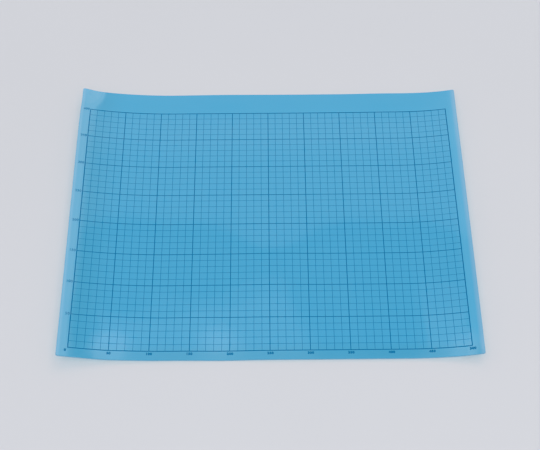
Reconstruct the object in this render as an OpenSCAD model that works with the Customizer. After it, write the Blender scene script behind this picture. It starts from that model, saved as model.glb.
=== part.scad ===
// Self-healing cutting mat with a printed millimetre scale.
// Three bonded plies lie flat in the middle and curl up a little towards both ends,
// as a sheet does that was stored rolled up. The print lies on the top face.
//
// The sheet is described by three numbers for every point:
//   s  distance from the left end, measured along the top face
//   y  distance from the front edge
//   d  depth below the top face; print, which stands on the face, has a negative depth

/* [Grid] */
// Distance between the heavy lines
major_pitch = 50; // [40:5:60]
// Light-line spaces between two heavy lines
cells_per_major = 5; // [2:1:10]
// Heavy-line columns across the mat
columns = 10; // [7:1:12]
// Heavy-line rows from front to back
rows = 8; // [4:1:10]

/* [Margins] */
// Bare strip left of the grid
margin_left = 14; // [8:1:30]
// Bare strip right of the grid
margin_right = 15; // [8:1:30]
// Bare strip in front of the grid
margin_front = 13; // [8:1:30]
// Bare strip behind the grid, for a straightedge
margin_back = 35; // [8:1:60]
// Rounding of the four die-cut corners
corner_radius = 2.5; // [1:0.5:8]

/* [Plies] */
// Soft ply that is cut into
top_ply_t = 0.6; // [0.3:0.1:1.5]
// Stiff core that stops the blade
core_ply_t = 0.8; // [0.3:0.1:2]
// Soft ply that grips the bench
bottom_ply_t = 0.6; // [0.3:0.1:1.5]

/* [Curl] */
// Length of sheet that lifts off the bench at the left
left_curl_length = 135; // [40:5:140]
// Radius of the top face where the left end curls
left_curl_radius = 620; // [300:10:1200]
// Length of sheet that lifts off the bench at the right
right_curl_length = 90; // [40:5:140]
// Radius of the top face where the right end curls
right_curl_radius = 445; // [300:5:1200]
// Length of the flat facets that make up a curl
curl_facet = 10; // [5:1:20]

/* [Print] */
// Thickness of one printed film of ink
ink_t = 0.02; // [0.01:0.01:0.1]
// Width of the frame line round the grid
border_w = 1.2; // [0.4:0.1:2]
// Width of the heavy lines
major_line_w = 1; // [0.3:0.1:1.5]
// Width of the light lines
minor_line_w = 0.5; // [0.1:0.05:0.8]

/* [Hidden] */
$fn = 48;
cut_clearance = 1; // how far a cutting tool runs past what it cuts

grid_w = columns * major_pitch;
grid_h = rows * major_pitch;
minor_pitch = major_pitch / cells_per_major;
mat_w = margin_left + grid_w + margin_right;
mat_h = margin_front + grid_h + margin_back;
mat_t = bottom_ply_t + core_ply_t + top_ply_t;

// Depths at which one ply ends and the next begins
core_top = top_ply_t;
core_bottom = top_ply_t + core_ply_t;

// Where the flat middle ends and the curls begin
left_tangent = left_curl_length;
right_tangent = mat_w - right_curl_length;

// Passes of the print, in the order in which the films are laid over each other
MINOR_ACROSS = 0;
MINOR_UP = 1;
MAJOR_ACROSS = 2;
MAJOR_UP = 3;

// Turn of the sheet from one facet to the next, so that a facet of the top face has its stated length
function facet_turn(radius) = 2 * asin(curl_facet / (2 * radius));

// Knot number i of a curl of a given top-face radius, as [distance past the tangent, rise] at depth d
function knot(i, radius, d) = let (a = i * facet_turn(radius))
    [(radius + d) * sin(a), radius - (radius + d) * cos(a)];

// Point of a curl at distance l past its tangent, on the straight facet between two knots
function curl_point(l, radius, d) = let (i = floor(l / curl_facet), part = l / curl_facet - i)
    (1 - part) * knot(i, radius, d) + part * knot(i + 1, radius, d);

// Point of the sheet at s and depth d, before centring: [distance from the left tangent, height]
function sheet_point(s, d) =
    s < left_tangent ? let (p = curl_point(left_tangent - s, left_curl_radius, d)) [-p.x, mat_t + p.y]
    : s > right_tangent ? let (p = curl_point(s - right_tangent, right_curl_radius, d))
        [right_tangent - left_tangent + p.x, mat_t + p.y]
    : [s - left_tangent, mat_t - d];

// Turn about Y, in degrees, that brings an upright tool in line with the end face at s
function end_tilt(s) = let (above = sheet_point(s, 0), below = sheet_point(s, mat_t))
    atan2(above.x - below.x, above.y - below.y);

// The underside's two end edges reach furthest out, so the origin lies midway between them
centre_x = (sheet_point(0, mat_t).x + sheet_point(mat_w, mat_t).x) / 2;

// Every s at which the sheet's section bends
bends = concat(
    [for (i = [floor(left_curl_length / curl_facet):-1:0]) left_tangent - i * curl_facet],
    [for (i = [0:floor(right_curl_length / curl_facet)]) right_tangent + i * curl_facet]);

// A strip of the sheet that follows the curl: from s0 to s1, y0 to y1, and depth d0 to d1
module strip(s0, s1, y0, y1, d0, d1) {
    stations = concat([s0], [for (s = bends) if (s > s0 && s < s1) s], [s1]);
    last = len(stations) - 1;
    section = concat([for (s = stations) sheet_point(s, d1)],
                     [for (i = [last:-1:0]) sheet_point(stations[i], d0)]);
    translate([-centre_x, y1 - mat_h / 2, 0])
        rotate([90, 0, 0])
            linear_extrude(y1 - y0)
                polygon(section);
}

// What the die cuts off a square corner, square to the sheet there.
// side is -1 at the left end and 1 at the right; end is -1 at the front edge and 1 at the back.
module corner_waste(side, end) {
    s = side < 0 ? 0 : mat_w;
    tip = sheet_point(s, 0);
    reach = corner_radius + cut_clearance;
    translate([tip.x - centre_x, end * mat_h / 2, tip.y])
        rotate([0, end_tilt(s), 0])
            to_corner(side, end)
                difference() {
                    translate([-corner_radius, -corner_radius, -mat_t - cut_clearance])
                        cube([reach, reach, mat_t + 2 * cut_clearance]);
                    translate([-corner_radius, -corner_radius, -mat_t - 2 * cut_clearance])
                        cylinder(r = corner_radius, h = mat_t + 4 * cut_clearance);
                }
}

// Turns a tool made for the right back corner to another corner
module to_corner(side, end) {
    mirror([side < 0 ? 1 : 0, 0, 0])
        mirror([0, end < 0 ? 1 : 0, 0])
            children();
}

// One ply of the full outline between two depths
module ply(d0, d1) {
    difference() {
        strip(0, mat_w, 0, mat_h, d0, d1);
        for (side = [-1, 1], end = [-1, 1]) corner_waste(side, end);
    }
}

// A printed film of one pass, given by its place in the grid
module film(u0, u1, v0, v1, pass) {
    strip(margin_left + u0, margin_left + u1, margin_front + v0, margin_front + v1,
          -(pass + 1) * ink_t, -pass * ink_t);
}

// A line from left to right at v, inside the frame line
module line_across(v, w, pass) {
    film(border_w / 2, grid_w - border_w / 2, v - w / 2, v + w / 2, pass);
}

// A line from front to back at u, inside the frame line
module line_up(u, w, pass) {
    film(u - w / 2, u + w / 2, border_w / 2, grid_h - border_w / 2, pass);
}

module bottom_ply() {
    color([0.22, 0.50, 0.68]) ply(core_bottom, mat_t);
}

module core_ply() {
    color([0.62, 0.80, 0.90]) ply(core_top, core_bottom);
}

module top_ply() {
    color([0.31, 0.65, 0.83]) ply(0, core_top);
}

module border_line() {
    color([0.05, 0.25, 0.40]) {
        half = border_w / 2;
        for (v = [0, grid_h]) film(half, grid_w - half, v - half, v + half, MINOR_ACROSS);
        for (u = [0, grid_w]) film(u - half, u + half, -half, grid_h + half, MINOR_ACROSS);
    }
}

module minor_lines_across() {
    color([0.12, 0.40, 0.58])
        for (i = [1:rows * cells_per_major - 1])
            if (i % cells_per_major != 0) line_across(i * minor_pitch, minor_line_w, MINOR_ACROSS);
}

module minor_lines_up() {
    color([0.12, 0.40, 0.58])
        for (i = [1:columns * cells_per_major - 1])
            if (i % cells_per_major != 0) line_up(i * minor_pitch, minor_line_w, MINOR_UP);
}

module major_lines_across() {
    color([0.05, 0.25, 0.40])
        for (i = [1:rows - 1]) line_across(i * major_pitch, major_line_w, MAJOR_ACROSS);
}

module major_lines_up() {
    color([0.05, 0.25, 0.40])
        for (i = [1:columns - 1]) line_up(i * major_pitch, major_line_w, MAJOR_UP);
}

bottom_ply();
core_ply();
top_ply();
border_line();
minor_lines_across();
minor_lines_up();
major_lines_across();
major_lines_up();
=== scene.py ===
# %% [markdown]
# # A self-healing cutting mat on a bench
# The mat is a thin blue vinyl sandwich with a grid printed on it. It was stored rolled up, so its two
# ends still curl off the bench and the sheet between them is not quite flat.
#
# Almost all of its character sits in that: a big, thin, glossy sheet that bends gently, with close to a
# hundred straight lines on it that give every bend away. So everything here is laid out on the flat sheet
# first, the way it was cut and printed, and one function then bends all of it at once.

# %% Load the frame
import math
from collections import namedtuple

import bmesh
import bpy
from mathutils import Matrix, Quaternion, Vector


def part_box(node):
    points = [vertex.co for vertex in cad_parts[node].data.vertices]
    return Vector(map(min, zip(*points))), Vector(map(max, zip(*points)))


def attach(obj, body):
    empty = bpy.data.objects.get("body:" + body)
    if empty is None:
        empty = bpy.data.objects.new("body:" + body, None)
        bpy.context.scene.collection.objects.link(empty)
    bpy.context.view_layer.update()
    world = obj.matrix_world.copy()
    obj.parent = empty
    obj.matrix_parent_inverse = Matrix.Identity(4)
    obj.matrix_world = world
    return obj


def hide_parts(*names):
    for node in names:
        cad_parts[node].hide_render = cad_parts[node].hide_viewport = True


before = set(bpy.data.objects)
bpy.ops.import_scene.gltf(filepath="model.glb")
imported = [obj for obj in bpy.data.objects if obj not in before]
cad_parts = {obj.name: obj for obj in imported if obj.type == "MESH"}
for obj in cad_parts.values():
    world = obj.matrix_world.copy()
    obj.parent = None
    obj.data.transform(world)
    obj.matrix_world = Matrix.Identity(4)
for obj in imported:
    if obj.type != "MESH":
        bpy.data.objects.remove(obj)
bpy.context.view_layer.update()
print("frame nodes:", ", ".join(sorted(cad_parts)))

# %% [markdown]
# ## Sizes
# The frame gives what can be measured on it: how high each ply and the print start, and how deep the
# sheet is from front to back. Its boxes can't give lengths along the curled direction, so those are named
# here as the flat sheet has them, in millimetres turned into metres.
#
# Places on the flat sheet are s, from its left end, and y, from its front edge.

# %% Read the sheet's sizes
MM = 0.001

major_pitch = 50 * MM
cells_per_major = 5
columns, rows = 10, 8
margin_left, margin_right, margin_front, margin_back = 14 * MM, 15 * MM, 13 * MM, 35 * MM
corner_radius = 2.5 * MM
border_w, major_line_w, minor_line_w = 1.2 * MM, 1.0 * MM, 0.5 * MM

minor_pitch = major_pitch / cells_per_major
grid_w, grid_h = columns * major_pitch, rows * major_pitch
mat_w = margin_left + grid_w + margin_right
mat_h = margin_front + grid_h + margin_back

core_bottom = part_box("core_ply")[0].z
core_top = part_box("top_ply")[0].z
sheet_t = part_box("minor_lines_across")[0].z
frame_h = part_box("top_ply")[1].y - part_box("top_ply")[0].y
print(f"flat sheet {mat_w / MM:.0f} x {mat_h / MM:.0f} x {sheet_t / MM:.2f} mm")
print(f"from front to back {frame_h / MM:.1f} mm in the frame")

# %% [markdown]
# ## How the sheet lies
# A sheet that was rolled keeps a constant curl at its ends, so each end follows a circle: its radius is
# that of the top face, and what lies deeper lies further out. That is a sine and a cosine, with nothing
# to simulate.
#
# On top of that come a few low buckles, where the sheet stands off the bench or has settled onto it. Each
# is one soft bump with its own reach along and across the sheet, which keeps them easy to place.

# %% The curl and the buckles
left_curl_length, left_curl_radius = 135 * MM, 620 * MM
right_curl_length, right_curl_radius = 90 * MM, 445 * MM
left_tangent, right_tangent = left_curl_length, mat_w - right_curl_length
loft = 1.5 * MM  # how far the sheet's middle stands off the bench between the places where it touches

Buckle = namedtuple("Buckle", "s y reach_s reach_y rise")  # all in millimetres
BUCKLES = (
    Buckle(264, 403, 400, 35, -1.3),  # the back has settled in a long, shallow trough
    Buckle(268, 138, 48, 80, 1.3),  # low swell in the middle
    Buckle(0, 163, 90, 400, -1.0),  # the left end hangs a little
    Buckle(0, 448, 16, 17, 3.2),  # back left corner flicks up
    Buckle(204, 448, 50, 30, 0.6),
    Buckle(439, 448, 45, 40, 1.1),  # wave in the back edge before the right corner
    Buckle(529, 448, 60, 60, -1.6),  # and the corner itself, held down by it
    Buckle(529, 120, 60, 190, 1.7),  # the right end rises most towards the front
    Buckle(504, -20, 21, 46, -0.9),  # three places where the front edge comes down on the bench
    Buckle(205, -10, 35, 55, -1.2),
    Buckle(60, -20, 20, 40, -1.2),
    Buckle(180, 80, 35, 45, 0.6),  # and the sheet stands up a little behind two of them
    Buckle(76, 58, 35, 35, 0.8),
)


def buckle_rise(s, y):
    """How far the buckles lift the sheet at a place on it."""
    lift = loft
    for b in BUCKLES:
        along, up = (s / MM - b.s) / b.reach_s, (y / MM - b.y) / b.reach_y
        lift += b.rise * MM * math.exp(-along * along - up * up)
    return max(lift, 0.0)


def curled(s, height):
    """Distance past the left tangent and height on the bench of a point of the curled section."""
    depth = sheet_t - height
    if s < left_tangent:
        turn = (left_tangent - s) / left_curl_radius
        reach = left_curl_radius + depth
        return -reach * math.sin(turn), sheet_t + left_curl_radius - reach * math.cos(turn)
    if s > right_tangent:
        turn = (s - right_tangent) / right_curl_radius
        reach = right_curl_radius + depth
        return (
            right_tangent - left_tangent + reach * math.sin(turn),
            sheet_t + right_curl_radius - reach * math.cos(turn),
        )
    return s - left_tangent, height


# The underside's two ends reach furthest out, and the origin lies midway between them
centre_x = (curled(0, 0)[0] + curled(mat_w, 0)[0]) / 2
corner_draw, corner_reach = 2.0 * MM, 32 * MM  # the back left corner is drawn in where it flicks up


def on_bench(place):
    """Where a point of the flat sheet, as (s, y, height above its underside), lies on the bench."""
    x, z = curled(place.x, place.z)
    to_corner = math.hypot(place.x, mat_h - place.y) / corner_reach
    x += corner_draw * math.exp(-to_corner * to_corner)
    return Vector((x - centre_x, place.y - mat_h / 2, z + buckle_rise(place.x, place.y)))


for part, s in (("left end", 0), ("middle", mat_w / 2), ("right end", mat_w)):
    top = on_bench(Vector((s, mat_h / 2, sheet_t)))
    print(f"half way up the sheet, the top face at the {part} is {top.z / MM:.1f} mm high")

# %% [markdown]
# ## Camera
# The view is from the front and a little over half way up, with a long lens, so that the grid's lines run
# together only slightly. A camera that is held by hand is never quite level, and a small roll about its
# own axis says so.

# %% Place the camera
aim = Vector((0.7, -11.1, 0.95)) * MM
elevation, azimuth, roll = math.radians(51.58), math.radians(-0.15), math.radians(-0.38)
camera_distance = 1.9
focal_length = 95.6  # in millimetres

camera = bpy.data.objects.new("camera", bpy.data.cameras.new("camera"))
bpy.context.collection.objects.link(camera)
camera.data.lens = focal_length
backwards = Vector(
    (math.sin(azimuth) * math.cos(elevation), -math.cos(azimuth) * math.cos(elevation), math.sin(elevation))
)
camera.location = aim + backwards * camera_distance
camera.rotation_mode = "QUATERNION"
camera.rotation_quaternion = (-backwards).to_track_quat("-Z", "Y") @ Quaternion((0, 0, 1), roll)
bpy.context.scene.camera = camera
bpy.context.scene.view_settings.view_transform = "Standard"
print("camera at", [round(c, 3) for c in camera.location])

# %% [markdown]
# ## Shaping tools
# Every piece of the mat is a slab of the flat sheet: a ply is one big slab and a printed line a very thin
# one. To bend, a slab needs cuts across it. With a cut every 5 mm, and wherever there is print, the flats
# between the cuts stray from the true curve by about a hundredth of a millimetre at most, so the print
# stays seated on the face. bisect_plane makes the cuts in whatever shape it is given, so it serves the
# numbers as well.

# %% Cut at the stations, then bend
station = 5 * MM
SAME_PLACE = 1e-7  # points that are closer than this, in metres, are one point
SMOOTH_BELOW = math.radians(12)  # faces that meet at less than this are shaded as one


def cut_at_stations(bm):
    """Cuts a flat piece at every station that it spans, along the sheet and up it."""
    for axis, length in ((0, mat_w), (1, mat_h)):
        low, high = (pick(v.co[axis] for v in bm.verts) for pick in (min, max))
        for step in range(1, round(length / station)):
            at = step * station
            if low < at < high:
                normal = Vector((0, 0, 0))
                normal[axis] = 1
                bmesh.ops.bisect_plane(
                    bm,
                    geom=bm.verts[:] + bm.edges[:] + bm.faces[:],
                    plane_co=normal * at,
                    plane_no=normal,
                    dist=SAME_PLACE,
                )


def lay_sheet_uv(bm):
    """Stores each corner's place on the flat sheet, in metres, so that finishes can follow the print."""
    sheet_uv = bm.loops.layers.uv.new("sheet")
    for face in bm.faces:
        for loop in face.loops:
            loop[sheet_uv].uv = loop.vert.co.xy


def finish_piece(bm, name, material, slot, *nodes):
    """Bends a flat piece onto the bench, makes it an object and hands it to the frame."""
    lay_sheet_uv(bm)
    for v in bm.verts:
        v.co = on_bench(v.co)
    bmesh.ops.recalc_face_normals(bm, faces=bm.faces)
    open_edges = sum(not edge.is_manifold for edge in bm.edges)
    mesh = bpy.data.meshes.new(name)
    bm.to_mesh(mesh)
    bm.free()
    mesh.shade_smooth()
    mesh.set_sharp_from_angle(angle=SMOOTH_BELOW)
    mesh.materials.append(material)
    piece = bpy.data.objects.new(name, mesh)
    bpy.context.collection.objects.link(piece)
    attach(piece, "root")
    if nodes:
        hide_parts(*nodes)
    print(f"{name}: {len(mesh.polygons)} faces, {open_edges} open edges")


# %% [markdown]
# ## Finishes
# The vinyl is a clear blue all through, with a calendered surface: smooth enough to mirror the lights,
# with a faint grain in it. Its colour is nearly even, so what there is to see is subtle. The printed
# field is a shade deeper than the bare margins. The cut ends have a painted glow, paler, for the light
# that comes through them. The pale bench lights the sheet from below, so the left end, which stands
# clear of it, and the front edge get a painted shade, a shade darker than the middle. A soft cloud
# stands for small changes of thickness. Each of these is one layer over a plain blue.
#
# Clear vinyl also tints the light that goes through it, so the shadow beside the sheet is blue and not
# grey. A transmitting shader would show that too, but it needs many light paths to be free of noise, and
# a thin sheet hides nearly all of it. Here the surface stays a plain one to the eye, and a Light Path
# node swaps it for a tinted, transparent one where a shadow ray or a diffuse ray comes along.

# %% Node helpers
FACES_CROSSED = 6  # two for each ply
THROUGH_VINYL = (0.35, 0.72, 0.86)  # what is left of white light that has crossed all of them
NOISE_LEVELS = (0.3, 0.7)  # a noise seldom goes outside these


def new_material(name):
    """A new material, its shader, a function that adds nodes to it, and its links."""
    material = bpy.data.materials.new(name)
    material.use_nodes = True
    tree = material.node_tree
    shader = next(n for n in tree.nodes if n.type == "BSDF_PRINCIPLED")

    def add(kind, inputs=None, **settings):
        node = tree.nodes.new("ShaderNode" + kind)
        for key, value in settings.items():
            setattr(node, key, value)
        for key, value in (inputs or {}).items():
            if isinstance(value, bpy.types.NodeSocket):
                tree.links.new(value, node.inputs[key])
            else:
                node.inputs[key].default_value = value
        return node

    return material, shader, add, tree.links


def let_light_through(material, tint):
    """Lets lamps and soft light reach what lies behind, tinted a little more by each face."""
    nodes, links = material.node_tree.nodes, material.node_tree.links
    shader = next(n for n in nodes if n.type == "BSDF_PRINCIPLED")
    output = next(n for n in nodes if n.type == "OUTPUT_MATERIAL")
    path = nodes.new("ShaderNodeLightPath")
    clear = nodes.new("ShaderNodeBsdfTransparent")
    clear.inputs["Color"].default_value = (*(c ** (1 / FACES_CROSSED) for c in tint), 1)
    surface = shader.outputs["BSDF"]
    for ray in ("Is Diffuse Ray", "Is Shadow Ray"):
        mix = nodes.new("ShaderNodeMixShader")
        links.new(path.outputs[ray], mix.inputs[0])
        links.new(surface, mix.inputs[1])
        links.new(clear.outputs["BSDF"], mix.inputs[2])
        surface = mix.outputs["Shader"]
    links.new(surface, output.inputs["Surface"])


def fade(add, value, start, end, low=0.0, high=1.0):
    """A soft ramp of a value, from low at start to high at end."""
    ramp = add(
        "MapRange",
        {"Value": value, "From Min": start, "From Max": end, "To Min": low, "To Max": high},
        interpolation_type="SMOOTHSTEP",
    )
    return ramp.outputs["Result"]


def times(add, first, second):
    """The product of two numbers."""
    return add("Math", {0: first, 1: second}, operation="MULTIPLY").outputs[0]


def greater(add, first, second):
    """The greater of two numbers."""
    return add("Math", {0: first, 1: second}, operation="MAXIMUM").outputs[0]


def noise(add, where, scale, detail):
    """A soft noise from 0 to 1 at a place on the piece."""
    return add("TexNoise", {"Vector": where, "Scale": scale, "Detail": detail}).outputs["Fac"]


def varied(add, value, by, blotches):
    """A number that a noise takes down and up by a share of it."""
    return fade(add, blotches, *NOISE_LEVELS, value * (1 - by), value * (1 + by))


def tinted(add, base, tint, share):
    """A colour blended towards a tint by a share."""
    mix = add("Mix", {"Factor": share}, data_type="RGBA")
    for socket, value in zip((s for s in mix.inputs if s.type == "RGBA"), (base, tint)):
        if isinstance(value, bpy.types.NodeSocket):
            mix.id_data.links.new(value, socket)
        else:
            socket.default_value = (*value, 1)
    return next(s for s in mix.outputs if s.type == "RGBA")


# %% Blue vinyl
BARE_BLUE = (0.044, 0.338, 0.572)
FIELD_BLUE = (0.042, 0.330, 0.566)
# painted glow of the cut ends, for the light that comes through them
PAINTED_GLOW_END = (0.135, 0.362, 0.560)
# painted shade of the left end and the front edge, for the bench light from below that they miss
PAINTED_SHADE_BLUE = (0.040, 0.308, 0.515)
DEEP_BLUE = (0.038, 0.326, 0.580)

# Distances from an edge: up to the first its painted shade or painted glow is full, and by the second it is
# gone
painted_shade_left, painted_shade_front = (10 * MM, 70 * MM), (5 * MM, 28 * MM)
painted_glow_left, painted_glow_right = (1 * MM, 6 * MM), (1 * MM, 7.5 * MM)
painted_glow_left_share = 0.6  # the painted glow at the left end is weaker than at the right one
field_soft = 0.6 * MM  # half the width over which the field's shade sets in

cloud_scale, cloud_levels, cloud_share = 14.0, (0.45, 0.70), 0.20
grain_scale, grain_relief, grain_strength = 2600.0, 0.1 * MM, 0.02


def vinyl(name, printed, roughness):
    """Calendered blue vinyl. The printed face is deeper inside the frame line."""
    material, shader, add, links = new_material(name)
    on_sheet = add("SeparateXYZ", {"Vector": add("UVMap", uv_map="sheet").outputs["UV"]})
    s, y = on_sheet.outputs["X"], on_sheet.outputs["Y"]
    colour = BARE_BLUE
    if printed:
        inside = 1.0
        for place, edge, before, after in (
            (s, margin_left, 0.0, 1.0),
            (y, margin_front, 0.0, 1.0),
            (s, mat_w - margin_right, 1.0, 0.0),
            (y, mat_h - margin_back, 1.0, 0.0),
        ):
            past_edge = fade(add, place, edge - field_soft, edge + field_soft, before, after)
            inside = times(add, inside, past_edge)
        colour = tinted(add, colour, FIELD_BLUE, inside)

    # painted shade: darker towards the left end and the front edge
    painted_shade = greater(add, fade(add, s, *painted_shade_left, 1.0, 0.0), fade(add, y, *painted_shade_front, 1.0, 0.0))
    colour = tinted(add, colour, PAINTED_SHADE_BLUE, painted_shade)
    # painted glow: the cut ends are made paler, for the light that comes through them
    glow_at_left_end = fade(add, s, *painted_glow_left, painted_glow_left_share, 0.0)
    glow_at_right_end = fade(add, s, mat_w - painted_glow_right[1], mat_w - painted_glow_right[0])
    colour = tinted(add, colour, PAINTED_GLOW_END, greater(add, glow_at_left_end, glow_at_right_end))

    where = add("TexCoord").outputs["Object"]
    cloud = noise(add, where, cloud_scale, detail=3.0)
    colour = tinted(add, colour, DEEP_BLUE, fade(add, cloud, *cloud_levels, 0.0, cloud_share))
    links.new(colour, shader.inputs["Base Color"])

    grain = noise(add, where, grain_scale, detail=2.0)
    links.new(varied(add, roughness, 0.15, grain), shader.inputs["Roughness"])
    bump = add("Bump", {"Height": grain, "Strength": grain_strength, "Distance": grain_relief})
    links.new(bump.outputs["Normal"], shader.inputs["Normal"])
    shader.inputs["IOR"].default_value = 1.5
    let_light_through(material, THROUGH_VINYL)
    return material


face_vinyl = vinyl("printed face vinyl", printed=True, roughness=0.045)
back_vinyl = vinyl("plain back vinyl", printed=False, roughness=0.3)


# %% Core and inks
CORE_BLUE, CORE_DEEP = (0.26, 0.53, 0.72), (0.20, 0.46, 0.66)
HEAVY_BLUE, HEAVY_THIN = (0.001, 0.143, 0.318), (0.002, 0.156, 0.335)
LIGHT_BLUE, LIGHT_THIN = (0.001, 0.150, 0.330), (0.002, 0.163, 0.348)


def plain_finish(name, colour, other, scale, roughness, gloss):
    """A plain colour that varies a little towards another, as a cut edge or a film of ink does."""
    material, shader, add, links = new_material(name)
    cloud = noise(add, add("TexCoord").outputs["Object"], scale, detail=3.0)
    links.new(tinted(add, colour, other, fade(add, cloud, 0.4, 0.7)), shader.inputs["Base Color"])
    links.new(varied(add, roughness, 0.2, cloud), shader.inputs["Roughness"])
    shader.inputs["Specular IOR Level"].default_value = gloss
    return material


core_plastic = plain_finish(
    "milky core plastic", CORE_BLUE, CORE_DEEP, scale=900.0, roughness=0.45, gloss=0.2
)
let_light_through(core_plastic, THROUGH_VINYL)
matt_ink = {"scale": 1500.0, "roughness": 0.5, "gloss": 0.02}
heavy_ink = plain_finish("heavy screen ink", HEAVY_BLUE, HEAVY_THIN, **matt_ink)
light_ink = plain_finish("light screen ink", LIGHT_BLUE, LIGHT_THIN, **matt_ink)

# %% [markdown]
# ## The plies
# Three sheets bonded face to face: a soft one that heals after a cut, a stiff core that stops the blade,
# and a soft one that grips the bench. A ply starts as a grid whose cells are about one station long, so
# it needs no cutting. Its four corner points are bevelled into the die's corner radius while it is still
# flat, and one extrusion gives it its thickness. A die-cut edge is never dead sharp, so the two outer
# rims get a tiny rounding that catches a thread of light.

# %% Make the three plies
corner_segments = 8
rim_round, rim_segments = 0.15 * MM, 2
UPRIGHT = 0.5  # a face whose normal rises by less than this is a side of the sheet


def make_ply(name, low, high, material, slot, node, rim=None):
    """One ply from height low to high on the flat sheet; rim is the height of the rim to round, if any."""
    bm = bmesh.new()
    bmesh.ops.create_grid(bm, x_segments=round(mat_w / station), y_segments=round(mat_h / station), size=0.5)
    bmesh.ops.scale(bm, vec=(mat_w, mat_h, 1), verts=bm.verts)
    bmesh.ops.translate(bm, vec=(mat_w / 2, mat_h / 2, low), verts=bm.verts)
    corners = [v for v in bm.verts if len(v.link_edges) == 2]
    bmesh.ops.bevel(
        bm,
        geom=corners,
        offset=corner_radius,
        segments=corner_segments,
        profile=0.5,
        affect="VERTICES",
        material=-1,
    )
    grown = bmesh.ops.extrude_face_region(bm, geom=bm.faces[:])["geom"]
    raised = [g for g in grown if isinstance(g, bmesh.types.BMVert)]
    bmesh.ops.translate(bm, vec=(0, 0, high - low), verts=raised)
    bmesh.ops.recalc_face_normals(bm, faces=bm.faces)
    if rim is not None:
        level = [e for e in bm.edges if all(abs(v.co.z - rim) < SAME_PLACE for v in e.verts)]
        bmesh.ops.bevel(
            bm,
            geom=[e for e in level if any(abs(f.normal.z) < UPRIGHT for f in e.link_faces)],
            offset=rim_round,
            segments=rim_segments,
            profile=0.5,
            affect="EDGES",
            material=-1,
        )
    finish_piece(bm, name, material, slot, node)


make_ply("gripping_ply", 0.0, core_bottom, back_vinyl, "soft_ply", "bottom_ply", rim=0.0)
make_ply("stiff_core", core_bottom, core_top, core_plastic, "core_sheet", "core_ply")
make_ply("healing_ply", core_top, sheet_t, face_vinyl, "soft_ply", "top_ply", rim=sheet_t)

# %% [markdown]
# ## The printed grid
# Screen print is a film of ink with a real, if tiny, thickness, so each line is a thin slab that starts
# just inside the face and ends just above it. Lines cross, and two tops at the same height would flicker,
# so each pass is laid a few microns higher than the one before, as on a press.

# %% Print the lines
film = 0.02 * MM
bite = 0.01 * MM  # how deep a film sits in the face
pass_step = 0.004 * MM
grid_left, grid_right = margin_left, margin_left + grid_w
grid_front, grid_back = margin_front, margin_front + grid_h


def print_lines(name, strips, order, material, slot, node):
    """One pass of the press: strips are (s0, s1, y0, y1) on the flat sheet."""
    bm = bmesh.new()
    low, high = sheet_t - bite, sheet_t + film + order * pass_step
    for s0, s1, y0, y1 in strips:
        place = Matrix.Translation(((s0 + s1) / 2, (y0 + y1) / 2, (low + high) / 2))
        size = Matrix.Diagonal((s1 - s0, y1 - y0, high - low, 1))
        bmesh.ops.create_cube(bm, size=1, matrix=place @ size)
    cut_at_stations(bm)
    finish_piece(bm, name, material, slot, node)


def lines_across(places, width):
    """Strips that run along the sheet, at distances up the grid."""
    return [(grid_left, grid_right, grid_front + p - width / 2, grid_front + p + width / 2) for p in places]


def lines_up(places, width):
    """Strips that run up the sheet, at distances along the grid."""
    return [(grid_left + p - width / 2, grid_left + p + width / 2, grid_front, grid_back) for p in places]


def between(count, pitch, skip=0):
    """Distances of count - 1 lines inside the grid, leaving out every one that is a multiple of skip."""
    return [i * pitch for i in range(1, count) if not skip or i % skip]


light_across = lines_across(between(rows * cells_per_major, minor_pitch, cells_per_major), minor_line_w)
light_up = lines_up(between(columns * cells_per_major, minor_pitch, cells_per_major), minor_line_w)
heavy_across = lines_across(between(rows, major_pitch), major_line_w)
heavy_up = lines_up(between(columns, major_pitch), major_line_w)
half = border_w / 2
border = [
    (grid_left - half, grid_right + half, grid_front - half, grid_front + half),
    (grid_left - half, grid_right + half, grid_back - half, grid_back + half),
    (grid_left - half, grid_left + half, grid_front + half, grid_back - half),
    (grid_right - half, grid_right + half, grid_front + half, grid_back - half),
]
print_lines("light_lines_across", light_across, 0, light_ink, "light_ink", "minor_lines_across")
print_lines("light_lines_up", light_up, 1, light_ink, "light_ink", "minor_lines_up")
print_lines("heavy_lines_across", heavy_across, 2, heavy_ink, "heavy_ink", "major_lines_across")
print_lines("heavy_lines_up", heavy_up, 3, heavy_ink, "heavy_ink", "major_lines_up")
print_lines("frame_line", border, 4, heavy_ink, "heavy_ink", "border_line")

# %% [markdown]
# ## The scale numbers
# Plain figures name every heavy line, in millimetres: centred under the lines along the front, and ending
# just short of the frame line on the left. A text object gives the shapes, and it becomes a mesh straight
# away, because only a mesh can be cut at the stations and bent with the sheet.

# %% Print the numbers
digit_h = 3.9 * MM
front_drop = 3.9 * MM  # from the frame line down to the middle of the front row
row_shift = 0.4 * MM  # the numbers were printed a little off their lines
zero_shift = -3.0 * MM  # from the grid's corner to the zero that both scales share
left_gap = 0.9 * MM  # between the left row and the frame line
front_bold, left_bold = 0.075, 0.02  # how far strokes are thickened, as a share of the type size
front_spread, left_spread = 1.18, 1.10  # room from one figure to the next, against the typeface's own
number_depth = film + 2 * bite


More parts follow.
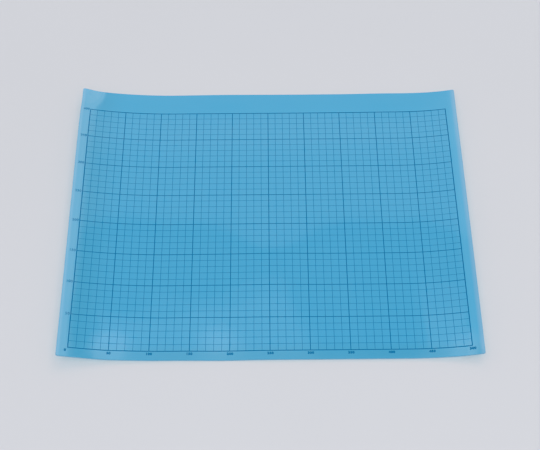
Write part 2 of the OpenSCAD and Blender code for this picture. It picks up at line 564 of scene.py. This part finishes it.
def add_number(bm, text, anchor, align, bold, spread):
    """Adds one number to bm. An align of 0.5 centres it on the anchor, and 1.0 ends it there."""
    curve = bpy.data.curves.new("number", "FONT")
    curve.body = text
    curve.extrude = 0.5  # each way, so the figures are one unit thick before they are scaled
    curve.offset = bold
    curve.space_character = spread
    source = bpy.data.objects.new("number", curve)
    bpy.context.collection.objects.link(source)
    bpy.context.view_layer.update()
    mesh = bpy.data.meshes.new_from_object(source)
    bpy.data.objects.remove(source)
    xs, ys = ([v.co[axis] for v in mesh.vertices] for axis in (0, 1))
    scale = digit_h / (max(ys) - min(ys))
    offset = Vector((-(min(xs) + align * (max(xs) - min(xs))), -(max(ys) + min(ys)) / 2, 0))
    middle = sheet_t - 2 * bite + number_depth / 2
    mesh.transform(
        Matrix.Translation((*anchor, middle))
        @ Matrix.Diagonal((scale, scale, number_depth, 1))
        @ Matrix.Translation(offset)
    )
    bm.from_mesh(mesh)
    bpy.data.meshes.remove(mesh)


def print_numbers(name, labels, bold, spread):
    """One row of numbers: labels are (text, anchor, align)."""
    bm = bmesh.new()
    for label in labels:
        add_number(bm, *label, bold, spread)
    bmesh.ops.remove_doubles(bm, verts=bm.verts, dist=SAME_PLACE)
    cut_at_stations(bm)
    finish_piece(bm, name, heavy_ink, "heavy_ink")


def millimetres(i):
    """The number at heavy line i."""
    return str(round(i * major_pitch / MM))


front_row = [
    (millimetres(i), (grid_left + i * major_pitch + row_shift, grid_front - front_drop), 0.5)
    for i in range(1, columns + 1)
]
corner_zero = (millimetres(0), (grid_left + zero_shift, grid_front - front_drop), 0.5)
left_row = [
    (millimetres(i), (grid_left - half - left_gap, grid_front + i * major_pitch + row_shift), 1.0)
    for i in range(1, rows + 1)
]
print_numbers("front_numbers", [corner_zero] + front_row, front_bold, front_spread)
print_numbers("left_numbers", left_row, left_bold, left_spread)

# %% [markdown]
# ## Bench and light
# The bench is a plain, pale matte table. Plain light from all round does most of the work, at a level
# where a colour comes out about as it is written. What the glossy sheet needs besides is something to
# mirror: large soft panels high over the bench, whose straight edges the sheet's buckles bend. The panel
# behind brightens the back of the mat, the one before it is mirrored by the swell in the middle, the
# strip before both shows only where the front edge dips, and the two at the sides are mirrored only by the
# curled ends.
#
# One panel has a hard edge, and the light in a workshop seldom has. So each of these is a stack of a few
# panels, each a little narrower or wider than the next: their edges make a soft step in the mirror image.
# A last large panel, mostly behind the viewer, is the key light, and it keeps the front edge's shadow
# small.

# %% Build the bench
TABLE = (0.600, 0.612, 0.655)
TABLE_SHADE = 0.97  # what its darker patches keep of that
bench_reach = 6.0  # in metres, from the middle to each side


def make_bench():
    """A wide table top with a faint unevenness."""
    bm = bmesh.new()
    bmesh.ops.create_grid(bm, x_segments=4, y_segments=4, size=bench_reach)
    mesh = bpy.data.meshes.new("bench_top")
    bm.to_mesh(mesh)
    bm.free()
    material, shader, add, links = new_material("pale table")
    cloud = noise(add, add("TexCoord").outputs["Object"], scale=3.0, detail=2.0)
    darker = tuple(c * TABLE_SHADE for c in TABLE)
    links.new(tinted(add, TABLE, darker, cloud), shader.inputs["Base Color"])
    shader.inputs["Roughness"].default_value = 0.7
    shader.inputs["Specular IOR Level"].default_value = 0.2
    mesh.materials.append(material)
    bench = bpy.data.objects.new("bench_top", mesh)
    bpy.context.collection.objects.link(bench)
    print(f"{bench.name}: {len(mesh.polygons)} faces")


make_bench()

# %% Light the bench
AMBIENT = 0.565
APART = 0.01  # between the panels of one stack


def add_stack(name, height, panels):
    """Level soft panels that shine down, from height upwards. A panel is (x0, x1, y0, y1, radiance).

    A ray that mirrors goes on through a lamp, so it sees the sum of the panels that it meets.
    """
    for i, (x0, x1, y0, y1, radiance) in enumerate(panels):
        lamp = bpy.data.lights.new(name, "AREA")
        lamp.shape = "RECTANGLE"
        lamp.size, lamp.size_y = x1 - x0, y1 - y0
        lamp.energy = radiance * math.pi * lamp.size * lamp.size_y
        panel = bpy.data.objects.new(name, lamp)
        panel.location = ((x0 + x1) / 2, (y0 + y1) / 2, height + i * APART)
        bpy.context.collection.objects.link(panel)
        print(f"{name}: {lamp.size:.1f} x {lamp.size_y:.1f} m, {lamp.energy:.0f} W")


# Each step is the edges that differ from panel to panel, in metres, and the radiance that the panel adds
back_steps = ((4.77, 0.48), (4.95, 0.06), (5.40, 0.10), (5.75, 0.12))
add_stack("back_panel", 6.0, [(-4.0, 1.05, near, 9.0, radiance) for near, radiance in back_steps])

front_steps = ((0.58, 3.50, 4.60, 0.10), (0.32, 3.62, 4.20, 0.24), (0.26, 3.66, 3.94, 0.28))
add_stack("front_panel", 5.96, [(-0.86, *step) for step in front_steps])

strip_steps = ((3.62, 0.45), (3.54, 0.40), (3.46, 0.42), (3.40, 0.50))
add_stack("front_strip", 5.92, [(-1.3, 0.95, 2.6, far, radiance) for far, radiance in strip_steps])

right_steps = ((0.92, 0.15), (0.98, 0.40), (1.04, 0.80), (1.09, 0.80), (1.45, 0.45))
add_stack("right_panel", 5.89, [(left, 3.9, 2.6, 7.5, radiance) for left, radiance in right_steps])

left_steps = ((-0.84, 0.22), (-0.93, 0.40))
add_stack("left_panel", 5.87, [(-1.7, right, 2.6, 7.5, radiance) for right, radiance in left_steps])

add_stack("key_panel", 5.8, [(-4.0, 4.0, -8.5, -1.0, 1.95)])

world = bpy.data.worlds.new("studio")
bpy.context.scene.world = world
world.use_nodes = True
surround = next(n for n in world.node_tree.nodes if n.type == "BACKGROUND")
surround.inputs["Color"].default_value = (AMBIENT, AMBIENT, AMBIENT, 1)
print("ambient light", AMBIENT)
